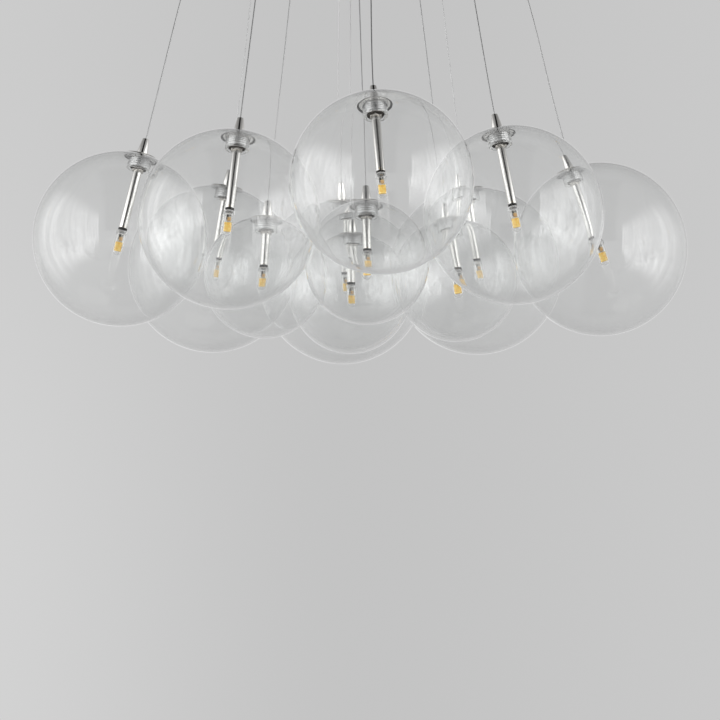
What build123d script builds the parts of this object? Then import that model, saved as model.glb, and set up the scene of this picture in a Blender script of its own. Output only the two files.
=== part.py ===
"""Cluster pendant: twelve clear glass globes that hang from one round ceiling canopy on thin cables.

Eight large globes crowd into a ring, and four small ones fill its middle, a little lower. Each globe
hangs from a chromed fitting: a cone gland, a cap disc, a clear threaded plug, a stem tube and a
lampholder with a plug-in lamp.

Frame: millimetres, +Z up, origin on the ceiling at the canopy's axis, front towards -Y.
"""

from build123d import *
from collections import namedtuple
from math import cos, floor, radians, sin, sqrt, tan
import os

# ---------------------------------------------------------------- globes
LARGE_GLOBE = 200.0  # diameter
SMALL_GLOBE = 140.0
GLASS_WALL = 1.5
GLOBE_GAP = 1.0  # least air between neighbouring globes
SMALL_SHARE = 0.7  # the ring has room for small globes up to this share of its large ones
SEAT_RADIUS = 20.0  # flat ground on the top of the globe, under the cap disc
SEAT_GAP = 0.3
NECK_WALL = 1.9
NECK_DEPTH = 15.0

# ---------------------------------------------------------------- thread between neck and plug
THREAD_RADIUS = 11.0  # mean radius
THREAD_CREST = 0.4  # how far a ridge stands past the mean radius
THREAD_ROOT = 0.6
THREAD_PITCH = 2.5
RIDGE_BASE = 1.3
RIDGE_TIP = 0.5
PLUG_DEPTH = 12.0

# ---------------------------------------------------------------- fitting
FIT = 0.05  # radial clearance of pieces that slip over each other
DISC_THICKNESS = 1.5
COLLAR_RADIUS = 5.6
COLLAR_HEIGHT = 3.0
CONE_BASE_RADIUS = 6.75
CONE_TOP_RADIUS = 3.75
CONE_HEIGHT = 18.0
TUBE_RADIUS = 5.0
TUBE_WALL = 1.0
SPIGOT_LENGTH = 6.0  # how far the gland is screwed down into the stem tube
WASHER_RADIUS = 9.5
WASHER_THICKNESS = 1.5
NUT_FLATS = 13.0
NUT_THICKNESS = 3.0

# ---------------------------------------------------------------- lampholder and lamp
LAMP_TOP = 9.5  # height of the black ring's underside over the globe's centre
RING_HEIGHT = 3.0
HOLDER_DEPTH = 9.0
PIN_SPACING = 4.0
PIN_RADIUS = 0.35
PIN_LENGTH = 7.5
PIN_HOLE_RADIUS = 0.5
PIN_HOLE_DEPTH = 8.5
LAMP_GAP = 0.3
LAMP_COLLAR_RADIUS = 6.2
LAMP_COLLAR_HEIGHT = 4.0
LAMP_RADIUS = 5.6
LAMP_WALL = 0.8
LAMP_LENGTH = 29.0
DRIVE_WIDTH = 5.5
DRIVE_DEPTH = 3.0
DRIVE_HEIGHT = 9.2
CHIP_WIDTH = 6.5
CHIP_HEIGHT = 11.0
CHIP_THICKNESS = 1.2

# ---------------------------------------------------------------- cables
CABLE_RADIUS = 0.8
GLAND_BORE_DEPTH = 8.0
KNEE_RISE = 25.0  # where the cable starts to bend, over the gland
ARC_SHARE = 0.45  # how much of the shorter run an arc may take

# ---------------------------------------------------------------- canopy
CANOPY_RADIUS = 175.0
CANOPY_DEPTH = 36.0
COVER_WALL = 1.5
COVER_ROUNDING = 4.0
CEILING_GAP = 0.5
PLATE_THICKNESS = 2.0
PLATE_CLEARANCE = 3.0
OUTER_OUTLETS = 130.0  # radius of the circle of cable outlets
INNER_OUTLETS = 48.0
OUTER_TURN = 5.0  # azimuth of the first outlet, in degrees
INNER_TURN = 2.5
CEILING_HOLE_RADIUS = 2.75
CEILING_HOLES_RADIUS = 90.0
CEILING_HOLE_COUNT = 4
CEILING_HOLE_TURN = 45.0

GRIP_FLANGE_RADIUS = 7.5
GRIP_FLANGE_THICKNESS = 1.5
GRIP_NOSE_RADIUS = 6.0
GRIP_TIP_RADIUS = 2.5
GRIP_NOSE_LENGTH = 9.4
GRIP_THREAD_RADIUS = 4.0
GRIP_THREAD_LENGTH = 8.0
GRIP_BORE_CLEARANCE = 0.15
GRIP_NUT_FLATS = 13.0
GRIP_NUT_THICKNESS = 3.5
PIVOT_GAP = 0.3  # air between the grip's nose and the round end of the cable

TAB_COUNT = 3
TAB_WIDTH = 16.0
TAB_HEIGHT = 15.0
TAB_THICKNESS = 2.5
TAB_INSET = 1.0  # from the plate's rim to the tab's outer face
SCREW_RADIUS = 2.0
SCREW_CLEARANCE = 0.25
SCREW_LENGTH = 9.0
SCREW_HEAD_RADIUS = 4.5
SCREW_HEAD_HEIGHT = 4.0

INLET_HOLE_RADIUS = 7.0
INLET_BORE_RADIUS = 4.0
GROMMET_LIP = 2.0
GROMMET_LIP_THICKNESS = 1.5
GROMMET_DEPTH = 6.0

DRIVER_LENGTH = 150.0
DRIVER_WIDTH = 44.0
DRIVER_HEIGHT = 19.0
DRIVER_SHIFT = 72.0  # how far back of the canopy's axis it sits
DRIVER_EAR = 9.0
DRIVER_EAR_THICKNESS = 3.0
DRIVER_ROUNDING = 2.0
DRIVER_SCREW_HEAD = 3.5
DRIVER_SCREW_HEAD_HEIGHT = 2.0

TERMINAL_LENGTH = 34.0
TERMINAL_WIDTH = 16.0
TERMINAL_HEIGHT = 14.0
TERMINAL_POLES = 3
TERMINAL_POLE_PITCH = 10.0
TERMINAL_SHIFT = 26.0
TERMINAL_WIRE_RADIUS = 2.0
TERMINAL_SCREW_RADIUS = 1.8
TERMINAL_SCREW_DEPTH = 4.0

BUS_LENGTH = 120.0
BUS_WIDTH = 22.0
BUS_BASE = 5.0
BUS_SHIFT = 86.0  # how far in front of the canopy's axis it sits
BAR_WIDTH = 6.0
BAR_HEIGHT = 5.0
BAR_SPACING = 11.0
BAR_END_GAP = 4.0
BAR_HOLES = 12
BAR_HOLE_RADIUS = 1.5

EARTH_SHIFT = 60.0
EARTH_STUD_LENGTH = 12.0
EARTH_NUT_FLATS = 7.0
EARTH_NUT_THICKNESS = 3.2
EARTH_WASHER_RADIUS = 4.5
EARTH_WASHER_THICKNESS = 1.0

# ---------------------------------------------------------------- layout of the cluster
CLUSTER_DROP = 585.0  # ceiling to the mean height of the ring of large globes
CLUSTER_SHIFT = 10.0  # the cluster hangs a little to the right of the canopy's axis

# The globes' centres: azimuth from the front in degrees, distance from the middle as a share of the
# globes' pitch, and height over the ring's mean. outlet is the azimuth of the cable's outlet among those of
# its circle, tilt leans the fitting sideways, in degrees, and bow moves the cable's middle sideways.
Drop = namedtuple("Drop", "name globe azimuth reach height outlet tilt bow")
DROPS = [
    Drop("01", LARGE_GLOBE, 276.0, 1.365, -3.0, 270.0, -0.5, -5.0),
    Drop("02", LARGE_GLOBE, 322.0, 1.170, -16.0, 315.0, 0.5, 4.0),
    Drop("03", LARGE_GLOBE, 4.5, 1.470, 0.0, 0.0, -2.0, 5.0),
    Drop("04", LARGE_GLOBE, 49.0, 1.130, -3.0, 45.0, -1.5, -1.5),
    Drop("05", LARGE_GLOBE, 94.5, 1.380, -4.0, 90.0, -2.0, 11.0),
    Drop("06", LARGE_GLOBE, 228.0, 1.165, 3.0, 225.0, 3.0, 3.0),
    Drop("07", SMALL_GLOBE, 268.0, 0.545, -41.0, 270.0, -2.0, 2.0),
    Drop("08", SMALL_GLOBE, 186.0, 0.530, -39.0, 180.0, -0.5, 1.5),
    Drop("09", SMALL_GLOBE, 4.5, 0.490, -46.0, 0.0, 0.5, -1.0),
    Drop("10", LARGE_GLOBE, 184.0, 1.475, 16.0, 180.0, -2.5, -1.5),
    Drop("11", SMALL_GLOBE, 92.5, 0.550, -45.0, 90.0, -1.0, 2.0),
    Drop("12", LARGE_GLOBE, 141.5, 1.110, 4.0, 135.0, -1.0, -1.0),
]

# ---------------------------------------------------------------- worked out from the sizes above
PITCH = max(LARGE_GLOBE, SMALL_GLOBE / SMALL_SHARE) + GLOBE_GAP
NECK_BORE = THREAD_RADIUS + THREAD_ROOT
NECK_RADIUS = NECK_BORE + NECK_WALL
PLUG_RADIUS = THREAD_RADIUS - THREAD_ROOT
TUBE_BORE = TUBE_RADIUS - TUBE_WALL
RING_TOP = LAMP_TOP + RING_HEIGHT
FLOOR_Z = -CEILING_GAP - CANOPY_DEPTH  # underside of the canopy
GRIP_TIP_Z = FLOOR_Z - GRIP_FLANGE_THICKNESS - GRIP_NOSE_LENGTH
PIVOT_Z = GRIP_TIP_Z - PIVOT_GAP - CABLE_RADIUS
COVER_INSIDE = CANOPY_RADIUS - COVER_WALL
FLOOR_INSIDE_Z = FLOOR_Z + COVER_WALL
SCREW_Z = -PLATE_THICKNESS - TAB_HEIGHT / 2
PLATE_RADIUS = COVER_INSIDE - PLATE_CLEARANCE
DRILL_DEPTH = 4 * COVER_WALL  # enough to go right through the cover's wall


def polar(radius, azimuth, height):
    """A point at an azimuth measured from the front, anticlockwise seen from above."""
    return Vector(radius * sin(radians(azimuth)), -radius * cos(radians(azimuth)), height)


def in_ring(drop):
    """Whether a drop belongs to the outer ring, rather than to the four in its middle."""
    return drop.reach > 1.0


def centre_of(drop):
    """The centre of a drop's globe."""
    return polar(PITCH * drop.reach, drop.azimuth, drop.height - CLUSTER_DROP) + Vector(CLUSTER_SHIFT, 0, 0)


def pivot_of(drop):
    """The point under its cable grip that a drop swings about."""
    if in_ring(drop):
        return polar(OUTER_OUTLETS, OUTER_TURN + drop.outlet, PIVOT_Z)
    return polar(INNER_OUTLETS, INNER_TURN + drop.outlet, PIVOT_Z)


def axis_of(drop):
    """The stem's direction: from the globe to its outlet, with the fitting's own sideways lean."""
    towards = (pivot_of(drop) - centre_of(drop)).normalized()
    return (towards + Vector(tan(radians(drop.tilt)), 0, 0)).normalized()


def stem_axis(drop):
    return Axis(centre_of(drop), axis_of(drop))


def section_of(drop):
    """The plane through the stem's axis that faces the front: x is the radius, y the height over the centre."""
    along = axis_of(drop)
    side = Vector(0, 1, 0).cross(along).normalized()
    return Plane(origin=centre_of(drop), x_dir=side, z_dir=side.cross(along))


def level_of(drop, height):
    """The plane square to the stem's axis, at a height over the globe's centre."""
    section = section_of(drop)
    return Plane(origin=centre_of(drop) + section.y_dir * height, x_dir=section.x_dir, z_dir=section.y_dir)


def seat_height(drop):
    """Height of the globe's flat top over its centre."""
    return sqrt((drop.globe / 2) ** 2 - SEAT_RADIUS**2)


def disc_top(drop):
    return seat_height(drop) + SEAT_GAP + DISC_THICKNESS


def tube_top_of(drop):
    """Height of the stem tube's top end, level with the cap disc's collar."""
    return disc_top(drop) + COLLAR_HEIGHT


def gland_top(drop):
    return tube_top_of(drop) + CONE_HEIGHT


def thread_points(root, crest, first, low):
    """The outline of the thread's ridges, from the top one down, as many as there is room for above a level."""
    points = []
    for ridge in range(floor((first - RIDGE_BASE / 2 - low) / THREAD_PITCH) + 1):
        middle = first - ridge * THREAD_PITCH
        points += [
            (root, middle + RIDGE_BASE / 2),
            (crest, middle + RIDGE_TIP / 2),
            (crest, middle - RIDGE_TIP / 2),
            (root, middle - RIDGE_BASE / 2),
        ]
    return points


def save(builder, label):
    builder.part.label = label
    export_step(builder.part, f"parts/{label}.step")


def save_group(pieces, label):
    """Write separate solids that share a node: a dictionary of piece names and builders."""
    for name, builder in pieces.items():
        builder.part.label = name
    group = Compound(label=label, children=[builder.part for builder in pieces.values()])
    export_step(group, f"parts/{label}.step")


# ---------------------------------------------------------------- one drop


def make_globe(drop):
    """Blown globe with a flat ground on top and an inward neck with thread ridges."""
    outside = drop.globe / 2
    inside = outside - GLASS_WALL
    seat = seat_height(drop)
    lip = seat - NECK_DEPTH
    under = seat - GLASS_WALL
    shoulder = sqrt(inside**2 - under**2)
    first_ridge = seat - THREAD_PITCH
    ridges = thread_points(NECK_BORE, THREAD_RADIUS - THREAD_CREST, first_ridge, lip)
    with BuildPart() as globe:
        with BuildSketch(section_of(drop)):
            with BuildLine():
                ThreePointArc((0, -outside), (outside, 0), (SEAT_RADIUS, seat))
                Polyline([(SEAT_RADIUS, seat), (NECK_BORE, seat), *ridges, (NECK_BORE, lip)])
                Polyline((NECK_BORE, lip), (NECK_RADIUS, lip), (NECK_RADIUS, under), (shoulder, under))
                ThreePointArc((shoulder, under), (inside, 0), (0, -inside))
                Line((0, -inside), (0, -outside))
            make_face()
        revolve(axis=stem_axis(drop))
    save(globe, f"globe_{drop.name}")


def ring_round(drop, inner, outer, low, high):
    """A plain ring or rod round the stem's axis."""
    with BuildPart() as ring:
        with BuildSketch(level_of(drop, low)):
            Circle(outer)
            if inner > 0:
                Circle(inner, mode=Mode.SUBTRACT)
        extrude(amount=high - low)
    return ring


def make_gland(drop):
    """Cone gland on the cap disc's collar, with a spigot down into the stem tube and a bore for the cable."""
    base = tube_top_of(drop)
    top = gland_top(drop)
    spigot = TUBE_BORE - FIT
    cable_bore = CABLE_RADIUS + FIT
    with BuildPart() as gland:
        with BuildSketch(section_of(drop)):
            with BuildLine():
                Polyline(
                    (cable_bore, base - SPIGOT_LENGTH),
                    (spigot, base - SPIGOT_LENGTH),
                    (spigot, base),
                    (CONE_BASE_RADIUS, base),
                    (CONE_TOP_RADIUS, top),
                    (cable_bore, top),
                    close=True,
                )
            make_face()
        revolve(axis=stem_axis(drop))
    return gland


def make_cap_disc(drop, low):
    """Cap disc that closes the globe's top, turned in one with the collar under the gland."""
    high = disc_top(drop)
    bore = TUBE_RADIUS + FIT
    with BuildPart() as disc:
        with BuildSketch(section_of(drop)):
            with BuildLine():
                Polyline(
                    (bore, low),
                    (SEAT_RADIUS, low),
                    (SEAT_RADIUS, high),
                    (COLLAR_RADIUS, high),
                    (COLLAR_RADIUS, tube_top_of(drop)),
                    (bore, tube_top_of(drop)),
                    close=True,
                )
            make_face()
        revolve(axis=stem_axis(drop))
    return disc


def make_plug(drop, low, high):
    """Clear threaded plug that the globe is screwed on."""
    first_ridge = seat_height(drop) - THREAD_PITCH * 1.5
    ridges = thread_points(PLUG_RADIUS, THREAD_RADIUS + THREAD_CREST, first_ridge, low)
    bore = TUBE_RADIUS + FIT
    outline = [(bore, high), (PLUG_RADIUS, high), *ridges, (PLUG_RADIUS, low), (bore, low)]
    with BuildPart() as plug:
        with BuildSketch(section_of(drop)):
            with BuildLine():
                Polyline(outline, close=True)
            make_face()
        revolve(axis=stem_axis(drop))
    return plug


def make_nut(drop, low):
    with BuildPart() as nut:
        with BuildSketch(level_of(drop, low)):
            RegularPolygon(NUT_FLATS / 2, 6, major_radius=False)
            Circle(TUBE_RADIUS + FIT, mode=Mode.SUBTRACT)
        extrude(amount=NUT_THICKNESS)
    return nut


def make_lampholder(drop):
    """Lampholder: a black ring under the stem tube and a round body up inside it, with two pin sockets."""
    with BuildPart() as holder:
        with BuildSketch(level_of(drop, LAMP_TOP)):
            Circle(TUBE_RADIUS)
        extrude(amount=RING_HEIGHT)
        with BuildSketch(level_of(drop, RING_TOP)):
            Circle(TUBE_BORE - FIT)
        extrude(amount=HOLDER_DEPTH)
        with BuildSketch(level_of(drop, LAMP_TOP)):
            with GridLocations(PIN_SPACING, 0, 2, 1):
                Circle(PIN_HOLE_RADIUS)
        extrude(amount=PIN_HOLE_DEPTH, mode=Mode.SUBTRACT)
    return holder


def make_stem(drop):
    """The fitting: lampholder, stem tube, lead, nut, washer, plug, cap disc and gland."""
    disc_low = seat_height(drop) + SEAT_GAP
    plug_low = seat_height(drop) - PLUG_DEPTH
    washer_low = plug_low - WASHER_THICKNESS
    lead_top = gland_top(drop) - GLAND_BORE_DEPTH
    bore = TUBE_RADIUS + FIT
    pieces = {
        "lampholder": make_lampholder(drop),
        "stem_tube": ring_round(drop, TUBE_BORE, TUBE_RADIUS, RING_TOP, tube_top_of(drop)),
        "lead": ring_round(drop, 0, CABLE_RADIUS, RING_TOP + HOLDER_DEPTH, lead_top),
        "nut": make_nut(drop, washer_low - NUT_THICKNESS),
        "washer": ring_round(drop, bore, WASHER_RADIUS, washer_low, plug_low),
        "plug": make_plug(drop, plug_low, disc_low),
        "cap_disc": make_cap_disc(drop, disc_low),
        "gland": make_gland(drop),
    }
    save_group(pieces, f"stem_{drop.name}")


def make_envelope(drop, top, shoulder, tip):
    """The lamp's clear collar and its hollow capsule."""
    dome = tip + LAMP_RADIUS
    cavity_radius = LAMP_RADIUS - LAMP_WALL
    cavity_tip = tip + LAMP_WALL
    with BuildPart() as envelope:
        with BuildSketch(section_of(drop)):
            with BuildLine():
                Polyline(
                    (0, shoulder),
                    (0, top),
                    (LAMP_COLLAR_RADIUS, top),
                    (LAMP_COLLAR_RADIUS, shoulder),
                    (LAMP_RADIUS, shoulder),
                    (LAMP_RADIUS, dome),
                )
                RadiusArc((LAMP_RADIUS, dome), (0, tip), LAMP_RADIUS)
                Line((0, tip), (0, cavity_tip))
                RadiusArc((0, cavity_tip), (cavity_radius, dome), -cavity_radius)
                Polyline((cavity_radius, dome), (cavity_radius, shoulder), (0, shoulder))
            make_face()
        revolve(axis=stem_axis(drop))
    return envelope


def make_pins(drop, low):
    with BuildPart() as pins:
        with BuildSketch(level_of(drop, low)):
            with GridLocations(PIN_SPACING, 0, 2, 1):
                Circle(PIN_RADIUS)
        extrude(amount=PIN_LENGTH)
    return pins


def block_below(drop, width, depth, top, height):
    """A block that hangs from a level inside the lamp, its width facing the front."""
    with BuildPart() as block:
        with BuildSketch(level_of(drop, top)):
            Rectangle(width, depth)
        extrude(amount=-height)
    return block


def make_lamp(drop):
    """Plug-in lamp: two pins, a clear collar and capsule, and a chip on its little driver inside."""
    top = LAMP_TOP - LAMP_GAP
    shoulder = top - LAMP_COLLAR_HEIGHT
    pieces = {
        "pins": make_pins(drop, top),
        "envelope": make_envelope(drop, top, shoulder, top - LAMP_LENGTH),
        "drive": block_below(drop, DRIVE_WIDTH, DRIVE_DEPTH, shoulder, DRIVE_HEIGHT),
        "chip": block_below(drop, CHIP_WIDTH, CHIP_THICKNESS, shoulder - DRIVE_HEIGHT, CHIP_HEIGHT),
    }
    save_group(pieces, f"lamp_{drop.name}")


def cable_points(drop):
    """The cable's route: out of the gland, a knee, its middle and the pivot under the grip."""
    along = axis_of(drop)
    start = centre_of(drop) + along * (gland_top(drop) - GLAND_BORE_DEPTH)
    knee = centre_of(drop) + along * (gland_top(drop) + KNEE_RISE)
    end = pivot_of(drop)
    middle = (knee + end) * 0.5 + Vector(drop.bow, 0, 0)
    return [start, knee, middle, end]


def bend_radii(points):
    """For each inner point, the radius of the largest arc that its two runs allow."""
    radii = []
    for before, at, after in zip(points, points[1:], points[2:]):
        turn = (at - before).get_angle(after - at)
        shorter = min((at - before).length, (after - at).length)
        radii.append(ARC_SHARE * shorter / tan(radians(turn) / 2))
    return radii


def make_cable(drop):
    points = cable_points(drop)
    radii = bend_radii(points)
    with BuildPart() as cable:
        with BuildLine() as route:
            FilletPolyline(*points, radius=radii)
        with BuildSketch(Plane(origin=points[0], z_dir=points[1] - points[0])):
            Circle(CABLE_RADIUS)
        sweep()
        with Locations(points[-1]):
            Sphere(CABLE_RADIUS)
    save(cable, f"cable_{drop.name}")
    length = sum(edge.length for edge in route.edges())
    print(f"cable_{drop.name}: length {length:.1f}, radii {[round(radius) for radius in radii]}")


# ---------------------------------------------------------------- canopy


def outlet_points(height):
    """The twelve outlets, one over each drop's pivot, at a height."""
    return [Vector(pivot_of(drop).X, pivot_of(drop).Y, height) for drop in DROPS]


def tab_planes(radius, height):
    """Planes that face outward at each tab of the ceiling plate."""
    planes = []
    for tab in range(TAB_COUNT):
        azimuth = 360 / TAB_COUNT * (tab + 0.5)
        outward = polar(1, azimuth, 0)
        along = outward.cross(Vector(0, 0, 1))
        planes.append(Plane(origin=polar(radius, azimuth, height), x_dir=along, z_dir=outward))
    return planes


def make_ceiling_plate():
    """Round steel plate on the ceiling, with three tabs for the cover's screws."""
    with BuildPart() as plate:
        with BuildSketch(Plane.XY.offset(-PLATE_THICKNESS)):
            Circle(PLATE_RADIUS)
            Circle(INLET_HOLE_RADIUS, mode=Mode.SUBTRACT)
            with PolarLocations(CEILING_HOLES_RADIUS, CEILING_HOLE_COUNT, CEILING_HOLE_TURN):
                Circle(CEILING_HOLE_RADIUS, mode=Mode.SUBTRACT)
        extrude(amount=PLATE_THICKNESS)
        for plane in tab_planes(PLATE_RADIUS - TAB_INSET, SCREW_Z):
            with BuildSketch(plane):
                Rectangle(TAB_WIDTH, TAB_HEIGHT)
                Circle(SCREW_RADIUS + FIT, mode=Mode.SUBTRACT)
            extrude(amount=-TAB_THICKNESS)
    save(plate, "ceiling_plate")


def make_cover():
    """Drawn steel canopy cover with an outlet hole for each grip and three screw holes in its side."""
    with BuildPart() as cover:
        with BuildSketch(Plane.XY.offset(FLOOR_Z)):
            Circle(CANOPY_RADIUS)
        extrude(amount=CANOPY_DEPTH)
        fillet(cover.edges().sort_by(Axis.Z)[0], COVER_ROUNDING)
        offset(amount=-COVER_WALL, openings=cover.faces().sort_by(Axis.Z)[-1])
        with Locations(outlet_points(FLOOR_Z)):
            Cylinder(GRIP_THREAD_RADIUS + FIT, DRILL_DEPTH, mode=Mode.SUBTRACT)
        for plane in tab_planes(COVER_INSIDE - COVER_WALL, SCREW_Z):
            with BuildSketch(plane):
                Circle(SCREW_RADIUS + SCREW_CLEARANCE)
            extrude(amount=DRILL_DEPTH, mode=Mode.SUBTRACT)
    save(cover, "canopy_cover")


def make_cover_screws():
    with BuildPart() as screws:
        for plane in tab_planes(CANOPY_RADIUS, SCREW_Z):
            with BuildSketch(plane):
                Circle(SCREW_HEAD_RADIUS)
            extrude(amount=SCREW_HEAD_HEIGHT)
            with BuildSketch(plane):
                Circle(SCREW_RADIUS)
            extrude(amount=-SCREW_LENGTH)
    save(screws, "cover_screws")


def make_grips():
    """Twelve cable grips: a tapered nose and flange below the cover, a threaded shank through it."""
    bore = CABLE_RADIUS + GRIP_BORE_CLEARANCE
    with BuildPart() as grips:
        for point in outlet_points(FLOOR_Z):
            with BuildSketch(Plane(origin=point, x_dir=(1, 0, 0), z_dir=(0, -1, 0))):
                with BuildLine():
                    Polyline(
                        (bore, GRIP_THREAD_LENGTH),
                        (GRIP_THREAD_RADIUS, GRIP_THREAD_LENGTH),
                        (GRIP_THREAD_RADIUS, 0),
                        (GRIP_FLANGE_RADIUS, 0),
                        (GRIP_FLANGE_RADIUS, -GRIP_FLANGE_THICKNESS),
                        (GRIP_NOSE_RADIUS, -GRIP_FLANGE_THICKNESS),
                        (GRIP_TIP_RADIUS, -GRIP_FLANGE_THICKNESS - GRIP_NOSE_LENGTH),
                        (bore, -GRIP_FLANGE_THICKNESS - GRIP_NOSE_LENGTH),
                        close=True,
                    )
                make_face()
            revolve(axis=Axis(point, (0, 0, 1)))
    save(grips, "cable_grips")


def make_grip_nuts():
    with BuildPart() as nuts:
        with BuildSketch(Plane.XY.offset(FLOOR_INSIDE_Z)):
            with Locations(*[(point.X, point.Y) for point in outlet_points(0)]):
                RegularPolygon(GRIP_NUT_FLATS / 2, 6, major_radius=False)
                Circle(GRIP_THREAD_RADIUS + FIT, mode=Mode.SUBTRACT)
        extrude(amount=GRIP_NUT_THICKNESS)
    save(nuts, "grip_nuts")


def make_grommet():
    """Rubber grommet in the plate's middle, where the house supply comes in."""
    low = -PLATE_THICKNESS - GROMMET_LIP_THICKNESS
    groove = INLET_HOLE_RADIUS - FIT
    with BuildPart() as grommet:
        with BuildSketch(Plane.XZ):
            with BuildLine():
                Polyline(
                    (INLET_BORE_RADIUS, 0),
                    (groove, 0),
                    (groove, -PLATE_THICKNESS),
                    (INLET_HOLE_RADIUS + GROMMET_LIP, -PLATE_THICKNESS),
                    (INLET_HOLE_RADIUS + GROMMET_LIP, low),
                    (groove, -GROMMET_DEPTH),
                    (INLET_BORE_RADIUS, -GROMMET_DEPTH),
                    close=True,
                )
            make_face()
        revolve(axis=Axis.Z)
    save(grommet, "inlet_grommet")


def driver_ear_points():
    reach = DRIVER_LENGTH / 2 + DRIVER_EAR / 2
    return [(-reach, DRIVER_SHIFT), (reach, DRIVER_SHIFT)]


def make_driver():
    """Low-voltage driver in its case, with an ear at each end."""
    with BuildPart() as driver:
        with BuildSketch(Plane.XY.offset(-PLATE_THICKNESS - DRIVER_HEIGHT)):
            with Locations((0, DRIVER_SHIFT)):
                Rectangle(DRIVER_LENGTH, DRIVER_WIDTH)
        extrude(amount=DRIVER_HEIGHT)
        fillet(driver.edges().filter_by(Axis.Z), DRIVER_ROUNDING)
        fillet(driver.edges().group_by(Axis.Z)[0], DRIVER_ROUNDING)
        with BuildSketch(Plane.XY.offset(-PLATE_THICKNESS - DRIVER_EAR_THICKNESS)):
            with Locations((0, DRIVER_SHIFT)):
                SlotOverall(DRIVER_LENGTH + 2 * DRIVER_EAR, DRIVER_EAR * 2)
            with Locations(*driver_ear_points()):
                Circle(SCREW_RADIUS + SCREW_CLEARANCE, mode=Mode.SUBTRACT)
        extrude(amount=DRIVER_EAR_THICKNESS)
    save(driver, "led_driver")


def make_driver_screws():
    """Screws that hold the driver's ears to the plate."""
    low = -PLATE_THICKNESS - DRIVER_EAR_THICKNESS
    with BuildPart() as screws:
        with BuildSketch(Plane.XY.offset(low)):
            with Locations(*driver_ear_points()):
                Circle(DRIVER_SCREW_HEAD)
        extrude(amount=-DRIVER_SCREW_HEAD_HEIGHT)
        with BuildSketch(Plane.XY.offset(low)):
            with Locations(*driver_ear_points()):
                Circle(SCREW_RADIUS)
        extrude(amount=DRIVER_EAR_THICKNESS)
    save(screws, "driver_screws")


def make_mains_terminal():
    """Three-pole terminal block beside the inlet."""
    low = -PLATE_THICKNESS - TERMINAL_HEIGHT
    with BuildPart() as terminal:
        with BuildSketch(Plane.XY.offset(low)):
            with Locations((TERMINAL_SHIFT, 0)):
                Rectangle(TERMINAL_WIDTH, TERMINAL_LENGTH)
        extrude(amount=TERMINAL_HEIGHT)
        with BuildSketch(Plane.YZ.offset(TERMINAL_SHIFT - TERMINAL_WIDTH / 2)):
            with Locations((0, low + TERMINAL_HEIGHT / 2)):
                with GridLocations(TERMINAL_POLE_PITCH, 0, TERMINAL_POLES, 1):
                    Circle(TERMINAL_WIRE_RADIUS)
        extrude(amount=TERMINAL_WIDTH, mode=Mode.SUBTRACT)
        with BuildSketch(Plane.XY.offset(low)):
            with Locations((TERMINAL_SHIFT, 0)):
                with GridLocations(0, TERMINAL_POLE_PITCH, 1, TERMINAL_POLES):
                    Circle(TERMINAL_SCREW_RADIUS)
        extrude(amount=TERMINAL_SCREW_DEPTH, mode=Mode.SUBTRACT)
    save(terminal, "mains_terminal")


def make_bus():
    """Low-voltage distribution: an insulating base and two brass bars with a hole for each cable."""
    base_low = -PLATE_THICKNESS - BUS_BASE
    with BuildPart() as base:
        with BuildSketch(Plane.XY.offset(base_low)):
            with Locations((0, -BUS_SHIFT)):
                RectangleRounded(BUS_LENGTH, BUS_WIDTH, DRIVER_ROUNDING)
        extrude(amount=BUS_BASE)
    save(base, "low_voltage_base")
    bar_length = BUS_LENGTH - 2 * BAR_END_GAP
    hole_pitch = bar_length / BAR_HOLES
    with BuildPart() as bars:
        with BuildSketch(Plane.XY.offset(base_low)):
            with Locations((0, -BUS_SHIFT)):
                with GridLocations(0, BAR_SPACING, 1, 2):
                    Rectangle(bar_length, BAR_WIDTH)
                with GridLocations(hole_pitch, BAR_SPACING, BAR_HOLES, 2):
                    Circle(BAR_HOLE_RADIUS, mode=Mode.SUBTRACT)
        extrude(amount=-BAR_HEIGHT)
    save(bars, "low_voltage_bars")


def disc_on_plate(radius, top, height):
    """A round piece at the earth stud's place, hanging from a height."""
    with BuildPart() as disc:
        with BuildSketch(Plane.XY.offset(top)):
            with Locations((-EARTH_SHIFT, 0)):
                Circle(radius)
                if radius > SCREW_RADIUS:
                    Circle(SCREW_RADIUS + FIT, mode=Mode.SUBTRACT)
        extrude(amount=-height)
    return disc


def make_earth_nut(top):
    with BuildPart() as nut:
        with BuildSketch(Plane.XY.offset(top)):
            with Locations((-EARTH_SHIFT, 0)):
                RegularPolygon(EARTH_NUT_FLATS / 2, 6, major_radius=False)
                Circle(SCREW_RADIUS + FIT, mode=Mode.SUBTRACT)
        extrude(amount=-EARTH_NUT_THICKNESS)
    return nut


def make_earth_stud():
    """Earth stud on the plate, with its washer and nut."""
    pieces = {
        "stud": disc_on_plate(SCREW_RADIUS, -PLATE_THICKNESS, EARTH_STUD_LENGTH),
        "washer": disc_on_plate(EARTH_WASHER_RADIUS, -PLATE_THICKNESS, EARTH_WASHER_THICKNESS),
        "nut": make_earth_nut(-PLATE_THICKNESS - EARTH_WASHER_THICKNESS),
    }
    save_group(pieces, "earth_stud")


os.makedirs("parts", exist_ok=True)

make_ceiling_plate()
make_cover()
make_cover_screws()
make_grips()
make_grip_nuts()
make_grommet()
make_driver()
make_driver_screws()
make_mains_terminal()
make_bus()
make_earth_stud()

for each_drop in DROPS:
    make_globe(each_drop)
    make_stem(each_drop)
    make_lamp(each_drop)
    make_cable(each_drop)
    lean = axis_of(each_drop).get_angle(Vector(0, 0, 1))
    centre = tuple(round(value, 1) for value in centre_of(each_drop))
    print(f"drop {each_drop.name}: centre {centre}, lean {lean:.1f}")
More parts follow.
